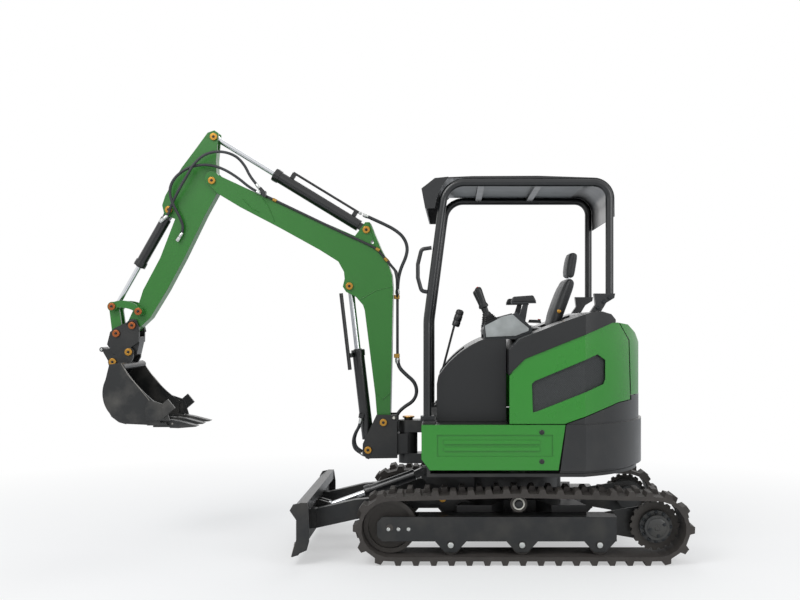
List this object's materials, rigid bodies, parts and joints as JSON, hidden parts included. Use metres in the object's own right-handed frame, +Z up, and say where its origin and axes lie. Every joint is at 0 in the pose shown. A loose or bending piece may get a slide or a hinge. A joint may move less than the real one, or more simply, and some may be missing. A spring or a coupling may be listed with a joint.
{
  "type": "mini excavator",
  "caption": "Tracked mini excavator with an open canopy, swing boom, dozer blade and a bucket on a quick coupler, all worked by hydraulic cylinders.",
  "frame": {"origin": "on the ground below the middle of the bounding box", "axes": "+X to the rear of the machine, +Y to its right side, +Z up"},
  "size_m": [3.6706, 1.5, 2.642],
  "materials": {
    "green_paint": "gloss",
    "black_paint": "satin",
    "chrome_rod": "polished",
    "track_rubber": "matt",
    "black_plastic": "satin",
    "grey_plastic": "matt",
    "seat_vinyl": "satin",
    "hose_rubber": "satin",
    "mat_rubber": "matt",
    "cast_black": "satin"
  },
  "bodies": {
    "undercarriage": {"undercarriage_frame": "black_paint", "slew_bearing": "black_paint", "track_frame_left": "black_paint", "track_frame_right": "black_paint", "track_left": "track_rubber", "track_right": "track_rubber", "sprocket_left": "black_paint", "sprocket_right": "black_paint", "final_drive_left": "black_paint", "final_drive_right": "black_paint", "rollers_left": "black_paint", "rollers_right": "black_paint"},
    "blade": {"blade": "black_paint", "blade_arms": "black_paint"},
    "blade_barrel": {"blade_cylinder": "black_paint"},
    "blade_piston": {"blade_rod": "chrome_rod"},
    "house": {"house_frame": "black_paint", "side_panel_left": "green_paint", "side_panel_right": "green_paint", "counterweight": "cast_black", "deck_plate": "black_paint", "floor_mat": "mat_rubber", "seat_base": "black_plastic", "engine_cover_left": "green_paint", "engine_cover_right": "green_paint", "grilles": "black_plastic", "engine_cap": "black_plastic", "engine_block": "cast_black", "canopy_frame_left": "black_paint", "canopy_frame_right": "black_paint", "canopy_roof": "black_paint", "seat_cushion": "seat_vinyl", "seat_back": "seat_vinyl", "headrest": "seat_vinyl", "consoles": "grey_plastic", "joysticks": "black_plastic", "travel_levers": "black_paint", "pedals": "black_paint", "grab_handle": "black_paint"},
    "hood": {"engine_hood": "green_paint"},
    "swing_post": {"swing_bracket": "black_paint"},
    "boom": {"boom": "green_paint", "boom_pipes": "black_paint", "boom_hoses": "hose_rubber", "arm_cylinder_hose": "hose_rubber", "arm_hoses": "hose_rubber"},
    "boom_barrel": {"boom_cylinder": "black_paint", "boom_cylinder_hoses": "hose_rubber"},
    "boom_piston": {"boom_rod": "chrome_rod"},
    "arm": {"arm": "green_paint"},
    "arm_barrel": {"arm_cylinder": "black_paint"},
    "arm_piston": {"arm_rod": "chrome_rod"},
    "bucket_barrel": {"bucket_cylinder": "black_paint"},
    "bucket_piston": {"bucket_rod": "chrome_rod"},
    "rocker": {"rocker": "green_paint"},
    "link": {"bucket_link": "green_paint"},
    "bucket": {"quick_coupler": "black_paint", "bucket": "black_paint"}
  },
  "joints": [
    {"name": "slew", "type": "hinge", "parent": "undercarriage", "child": "house", "pos_m": [0.85, 0, 0.48], "axis": [0, 0, 1], "continuous": true},
    {"name": "boom_swing", "type": "hinge", "parent": "house", "child": "swing_post", "pos_m": [0.15, 0, 0.64], "axis": [0, 0, 1], "range_deg": [-50, 75]},
    {"name": "boom_lift", "type": "hinge", "parent": "swing_post", "child": "boom", "pos_m": [-0.005, 0, 0.775], "axis": [0, 1, 0], "range_deg": [-95, 12]},
    {"name": "boom_cylinder_tilt", "type": "hinge", "parent": "swing_post", "child": "boom_barrel", "pos_m": [-0.103, 0, 0.6], "axis": [0, 1, 0], "range_deg": [-90, 12]},
    {"name": "boom_rod_slide", "type": "slide", "parent": "boom_barrel", "child": "boom_piston", "axis": [-0.1152, 0, 0.9933], "range_m": [-0.281, 0.036]},
    {"name": "arm_crowd", "type": "hinge", "parent": "boom", "child": "arm", "pos_m": [-1.102, 0, 2.317], "axis": [0, -1, 0], "range_deg": [-70, 30]},
    {"name": "arm_cylinder_tilt", "type": "hinge", "parent": "boom", "child": "arm_barrel", "pos_m": [-0.116, 0, 2.003], "axis": [0, -1, 0], "range_deg": [-3.3, 1.5]},
    {"name": "arm_rod_slide", "type": "slide", "parent": "arm_barrel", "child": "arm_piston", "axis": [-0.8538, 0, 0.5206], "range_m": [-0.306, 0.132]},
    {"name": "bucket_dump", "type": "hinge", "parent": "arm", "child": "bucket", "pos_m": [-1.611, 0, 1.392], "axis": [0, 1, 0], "range_deg": [-60, 90]},
    {"name": "rocker_tilt", "type": "hinge", "parent": "arm", "child": "rocker", "pos_m": [-1.566, 0, 1.481], "axis": [0, 1, 0], "range_deg": [-41, 62]},
    {"name": "link_tilt", "type": "hinge", "parent": "rocker", "child": "link", "pos_m": [-1.735, 0, 1.513], "axis": [0, 1, 0], "range_deg": [-27.5, 18.5]},
    {"name": "bucket_cylinder_tilt", "type": "hinge", "parent": "arm", "child": "bucket_barrel", "pos_m": [-1.382, 0, 2.133], "axis": [0, 1, 0], "range_deg": [-1.6, 2.4]},
    {"name": "bucket_rod_slide", "type": "slide", "parent": "bucket_barrel", "child": "bucket_piston", "axis": [-0.4948, 0, -0.869], "range_m": [-0.164, 0.11]},
    {"name": "blade_lift", "type": "hinge", "parent": "undercarriage", "child": "blade", "pos_m": [0.375, 0, 0.34], "axis": [0, 1, 0], "range_deg": [-17, 20]},
    {"name": "blade_cylinder_tilt", "type": "hinge", "parent": "undercarriage", "child": "blade_barrel", "pos_m": [0.25, 0, 0.452], "axis": [0, 1, 0], "range_deg": [-19.4, 22.8]},
    {"name": "blade_rod_slide", "type": "slide", "parent": "blade_barrel", "child": "blade_piston", "axis": [-0.9412, 0, -0.3378], "range_m": [-0.052, 0.045]},
    {"name": "hood_open", "type": "hinge", "parent": "house", "child": "hood", "pos_m": [1.44, 0, 1.412], "axis": [0, -1, 0], "range_deg": [0, 75]}
  ],
  "couplings": [
    {"joint": "boom_cylinder_tilt", "follows": "boom_lift", "ratio": 0.945},
    {"joint": "boom_rod_slide", "follows": "boom_lift", "m_per_rad": 0.16874},
    {"joint": "arm_cylinder_tilt", "follows": "arm_crowd", "ratio": 0.045},
    {"joint": "arm_rod_slide", "follows": "arm_crowd", "m_per_rad": 0.24895},
    {"joint": "rocker_tilt", "follows": "bucket_dump", "ratio": 0.68},
    {"joint": "link_tilt", "follows": "bucket_dump", "ratio": -0.3},
    {"joint": "bucket_cylinder_tilt", "follows": "bucket_dump", "ratio": 0.025},
    {"joint": "bucket_rod_slide", "follows": "bucket_dump", "m_per_rad": -0.10342},
    {"joint": "blade_cylinder_tilt", "follows": "blade_lift", "ratio": 1.12},
    {"joint": "blade_rod_slide", "follows": "blade_lift", "m_per_rad": -0.14553}
  ]
}
